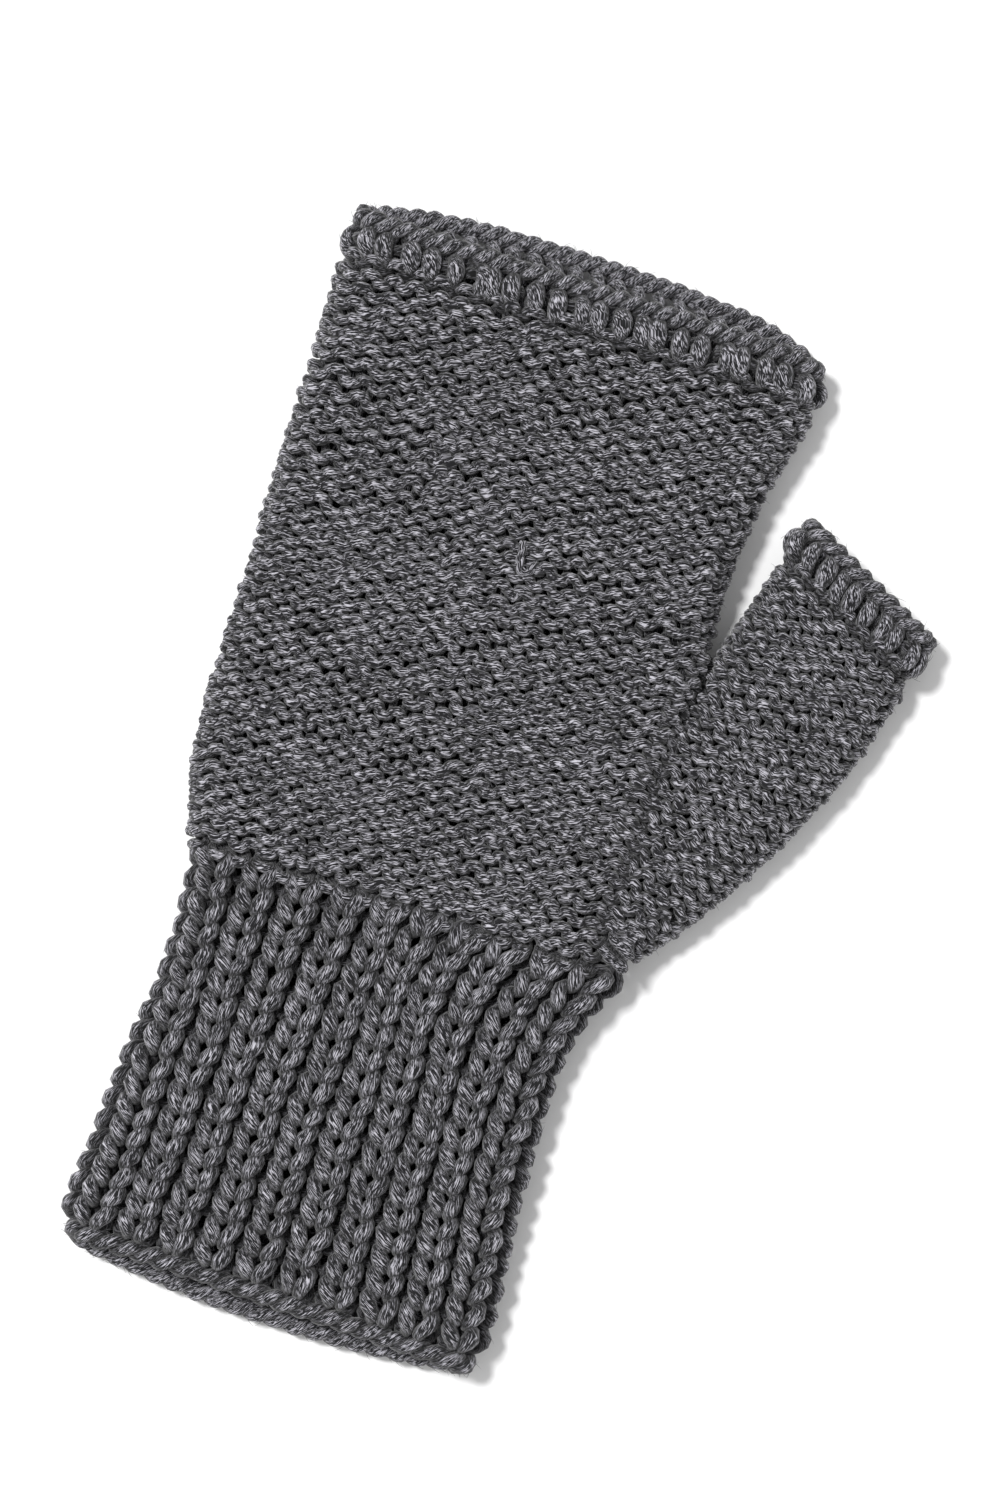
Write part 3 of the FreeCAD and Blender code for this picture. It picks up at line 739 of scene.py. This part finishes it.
def rib_rows(first, last, seed):
    """Courses of the rib: a stitch outside, then one inside, all the way round."""
    rng = np.random.default_rng(seed)
    t = TAU * np.arange(RIBS * 2 * SAMPLES) / SAMPLES
    k = np.floor(t / TAU).astype(int)
    outside = k % 2 == 0
    ph = t - TAU * k
    x = 3.8 * (ph - math.pi) / TAU - 0.85 * np.sin(ph) + 1.10 * np.sin(2 * ph)
    pull = rng.normal(0, 1, (last - first, RIBS * 2))[:, k]
    leg = np.sin(ph) ** 2
    knit = -0.9 + leg * (2.65 + 0.5 * np.cos(ph))
    inside = -0.9 - 0.8 * leg - 0.7 * np.sin(ph / 2) ** 2
    out = np.where(outside, knit, inside)
    row = np.arange(first, last)[:, None]
    u = ((k + 0.5) / 2 + 0.5 + x[None] * (1 + 0.04 * pull) / RIB_WIDTH) / RIBS
    v = WRIST_Y - 2.0 - RIB_ROW * row - 2.75 * np.cos(ph)[None] * (1 + 0.04 * pull)
    u2 = u + (0.22 * sway_a(u, v) + 0.5 * drift_a(u, v)) / 168
    v2 = v + 0.22 * sway_b(u, v) + 0.4 * drift_b(u, v) * (1 - ramp(-v, 86, 98))
    radius = 1.0 + 0.60 * leg * np.where(outside, 1.0, 0.35)
    radius = radius[None] * (1 + 0.05 * thick_a(u, v))
    return laid(cuff_surface, u2, v2, np.broadcast_to(out, v.shape) * (1 + 0.05 * pull), radius)


for name, first, last in (("rib_courses_1", 0, 9), ("rib_courses_2", 9, 17)):
    b = Bundle()
    b.sweep(closed=True, start=20000 + first * 137, proud=3.3, **rib_rows(first, last, 500 + first))
    node = "cuff_rib" if first == 0 else None
    finish_piece(b, name, rib_wool, "cuff", node, WRIST_BEND, fuzz=1600)


# ---------------------------------------------------------------- edges
def rope(surface, place, depth, strands, twist_r, twist_pitch, length, radius):
    """Strands twisted together round a tube's edge, length mm round. surface(u, along, out) is the tube."""
    turns = round(length / twist_pitch)
    n = turns * 16
    f = np.arange(n) / n
    ph = TAU * (f[None] * turns + np.arange(strands)[:, None] / strands)
    wobble = twist_r * (1 + 0.12 * thick_a(f[None], 3.0 * np.arange(strands)[:, None]))
    f = np.broadcast_to(f, ph.shape)
    thick = radius * (1 + 0.04 * np.sin(ph))
    return laid(surface, f, place + wobble * np.cos(ph), depth + wobble * np.sin(ph), thick)


def bind_off(surface, base, bumps, seed, size=1.0):
    """The bound-off edge: each stitch comes over it as one fat upright bump and goes back inside."""
    rng = np.random.default_rng(seed)
    n = 22
    f = np.arange(bumps * n) / n
    k = np.floor(f).astype(int)
    f1 = f - k
    # the bump from the side: how far along the tube, and how far out
    ring = np.array([(0.2, -1.0), (1.2, 0.55), (2.8, 1.0), (4.3, 0.45), (5.2, -1.0), (4.6, -2.3),
                     (2.8, -2.6), (1.0, -2.3)])
    # a smooth closed curve through the ring's points
    c = np.fft.rfft(ring, axis=0) / len(ring)
    prof = np.zeros((len(f1), 2)) + c[0].real
    for m in range(1, len(c)):
        share = 1.0 if m == len(ring) / 2 else 2.0
        turn = np.exp(1j * TAU * m * f1)[:, None]
        prof += share * (c[m][None] * turn).real
    ahead = np.interp(f1, [0, 0.5, 1.0], [0.0, 0.2, 1.0])
    ahead = ahead + 0.05 * rng.normal(0, 1, bumps)[k] * np.sin(TAU * f1)
    shift = rng.normal(0, 0.15, bumps)
    tall = rng.normal(0, 0.55, bumps)
    fat = rng.normal(0, 0.10, bumps)
    mid = np.sin(math.pi * np.clip(f1 / 0.52, 0, 1))
    u = (k + ahead + shift[k] * mid) / bumps
    along = base + prof[:, 0] - tall[k] * mid * (f1 < 0.25) * 0.8
    radius = size * (0.98 + 0.86 * mid) * (1 + fat[k] * mid)
    return laid(surface, u[None], along[None], prof[None, :, 1], radius[None])


def hand_tube_at(u, v, n):
    """The hand's tube, with u wrapping round."""
    return hand_surface(u % 1.0, v, n)


def thumb_tube_at(u, a, n):
    """The thumb's tube, with u 0 to 1 round it."""
    return thumb_surface(((u % 1.0) - 0.5) * thumb_round(a), a, n)


def cuff_tube_at(u, v, n):
    """The cuff's tube, with u wrapping round."""
    return cuff_surface(u % 1.0, v, n)


HAND_ROUND = 196  # mm round the finger opening
THUMB_ROUND = 75
CUFF_ROUND = 168
HEM_TWIST = 6.6  # mm along an edge cord for one turn of its strands
CAST_ON_TWIST = 8.0

b = Bundle()
b.sweep(closed=True, start=30000, proud=2.1, **bind_off(hand_tube_at, 92.0, 47, 700, 1.04))
b.sweep(closed=True, start=31000, proud=1.0,
        **rope(hand_tube_at, 99.2, -0.55, 2, 0.95, HEM_TWIST, HAND_ROUND, 1.12))
finish_piece(b, "finger_hem_edge", hem_wool, "hand", "finger_hem", fuzz=1500)
b = Bundle()
b.sweep(closed=True, start=33000, proud=2.0, **bind_off(thumb_tube_at, 24.2, 21, 701, 0.90))
b.sweep(closed=True, start=34000, proud=1.0,
        **rope(thumb_tube_at, 31.0, -0.55, 2, 0.95, HEM_TWIST, THUMB_ROUND, 1.1))
finish_piece(b, "thumb_hem_edge", hem_wool, "thumb", "thumb_hem", THUMB_BEND, fuzz=600)
b = Bundle()
b.sweep(closed=True, start=35000, proud=1.4,
        **rope(cuff_tube_at, -101.0, -0.6, 2, 0.85, CAST_ON_TWIST, CUFF_ROUND, 1.3))
finish_piece(b, "cast_on_rope", rib_wool, "cuff", "cast_on_edge", WRIST_BEND, fuzz=800)


# ---------------------------------------------------------------- yarn ends
def smooth_line(points, n):
    """A smooth curve through points."""
    p = np.array(points, float)
    at = np.linspace(0, len(p) - 1, n)
    i = np.clip(at.astype(int), 0, len(p) - 2)
    f = (at - i)[:, None]
    q = np.concatenate([2 * p[:1] - p[1:2], p, 2 * p[-1:] - p[-2:-1]])
    before, here, there, after = q[i], q[i + 1], q[i + 2], q[i + 3]
    square = 2 * before - 5 * here + 4 * there - after
    cube = 3 * here - before - 3 * there + after
    return 0.5 * (2 * here + (there - before) * f + square * f ** 2 + cube * f ** 3)


def plied(line, twist_r, pitch, strands=2):
    """Strands twisted round a line (points x 3)."""
    tan, one, two = transport(line[None], False)
    step = np.concatenate([[0], np.cumsum(np.linalg.norm(np.diff(line, axis=0), axis=1))])
    paths = []
    for k in range(strands):
        ph = TAU * (step / pitch + k / strands)
        paths.append(line + twist_r * (one[0] * np.cos(ph)[:, None] + two[0] * np.sin(ph)[:, None]))
    return np.stack(paths)


def stitch_path():
    """A small loop of yarn pulled through to join two balls, standing up on the hand."""
    x0, y0, _ = middle_mm("yarn_join_stitch")
    top = hand_surface(np.array([0.25]), np.array([y0]), np.array([0.0]))[0]
    z0 = top[2] + 0.5
    points = [(-0.9, 3.4, -0.4), (-0.7, 2.4, 1.5), (-0.6, 0.6, 2.3), (-0.2, -1.2, 2.2),
              (0.7, -2.2, 1.9), (1.7, -1.5, 1.7), (2.2, -0.4, 1.2), (2.4, 0.6, 0.0)]
    return smooth_line([(x0 + p[0], y0 + p[1], z0 + p[2]) for p in points], 60)


b = Bundle()
b.sweep(plied(stitch_path(), 0.32, 4.5), 0.60, False, start=40000)
finish_piece(b, "join_loop", loose_wool, "hand", "yarn_join_stitch")


TAIL_BOW = 160.0  # the radius that a woven-in end curves by
TAIL_HIGH = 5.2
TAIL_POINTS = 90


def tail_line(x, y, turn, length):
    """A woven-in yarn end, from (x, y) in mm, leaning by turn degrees."""
    s = np.linspace(0, length, TAIL_POINTS) / TAIL_BOW
    lx, ly = TAIL_BOW * (np.cos(s) - 1), TAIL_BOW * np.sin(s)
    c, d = math.cos(math.radians(turn)), math.sin(math.radians(turn))
    return np.stack([x + lx * c - ly * d, y + lx * d + ly * c, np.full(TAIL_POINTS, TAIL_HIGH)], -1)


for name, node, body, bend, line in (
    ("cast_on_end", "cast_on_tail", "cuff", WRIST_BEND, tail_line(-47.6, -96.0, -7.0, 40.0)),
    ("finger_end", "finger_tail", "hand", None, tail_line(-54.5, 56.0, -6.0, 34.0)),
    ("thumb_end", "thumb_tail", "hand", None, tail_line(35.4, -1.5, -33.0, 26.0)),
):
    b = Bundle()
    b.sweep(plied(line, 0.45, 5.0), 0.55, False, start=41000)
    finish_piece(b, name, loose_wool, body, node, bend)

# ---------------------------------------------------------------- floor, light, camera
bpy.ops.mesh.primitive_plane_add(size=3.0, location=(0, 0, 0))
floor = bpy.context.object
floor.name = "floor"
floor_white = bpy.data.materials.new("floor_white")
floor_white.use_nodes = True
floor_paint = floor_white.node_tree.nodes["Principled BSDF"]
floor_paint.inputs["Base Color"].default_value = (0.93, 0.93, 0.93, 1)
floor_paint.inputs["Roughness"].default_value = 1.0
floor_paint.inputs["Specular IOR Level"].default_value = 0.0
floor.data.materials.append(floor_white)

lean = math.radians(17.8)  # how far the view is turned from the mitt's own direction
SUN_HIGH = math.radians(64)
CAMERA_HIGH = 1.1
right = Vector((math.cos(lean), math.sin(lean), 0))
up = Vector((-math.sin(lean), math.cos(lean), 0))
sun_data = bpy.data.lights.new("key", "SUN")
sun_data.energy = 2.7
sun_data.angle = math.radians(10)
sun = bpy.data.objects.new("key", sun_data)
level_way = (-right * 0.72 + up * 0.62).normalized()
toward = level_way * math.cos(SUN_HIGH) + Vector((0, 0, math.sin(SUN_HIGH)))
sun.rotation_mode = "QUATERNION"
sun.rotation_quaternion = toward.to_track_quat("Z", "Y")
bpy.context.scene.collection.objects.link(sun)
world = bpy.data.worlds.new("studio")
world.use_nodes = True
world.node_tree.nodes["Background"].inputs[0].default_value = (1, 1, 1, 1)
world.node_tree.nodes["Background"].inputs[1].default_value = 0.62
bpy.context.scene.world = world

cam_data = bpy.data.cameras.new("camera")
cam_data.lens = 139
cam_data.sensor_width = 36
cam_data.clip_end = 10
cam = bpy.data.objects.new("camera", cam_data)
look = Vector((-7.49, 11.13, 10.0)) * MM
cam.matrix_world = Matrix.Translation(look + Vector((0, 0, CAMERA_HIGH))) @ Matrix((
    (right.x, up.x, 0, 0), (right.y, up.y, 0, 0), (0, 0, 1, 0), (0, 0, 0, 1)))
bpy.context.scene.collection.objects.link(cam)
bpy.context.scene.camera = cam
bpy.context.scene.view_settings.view_transform = "Standard"
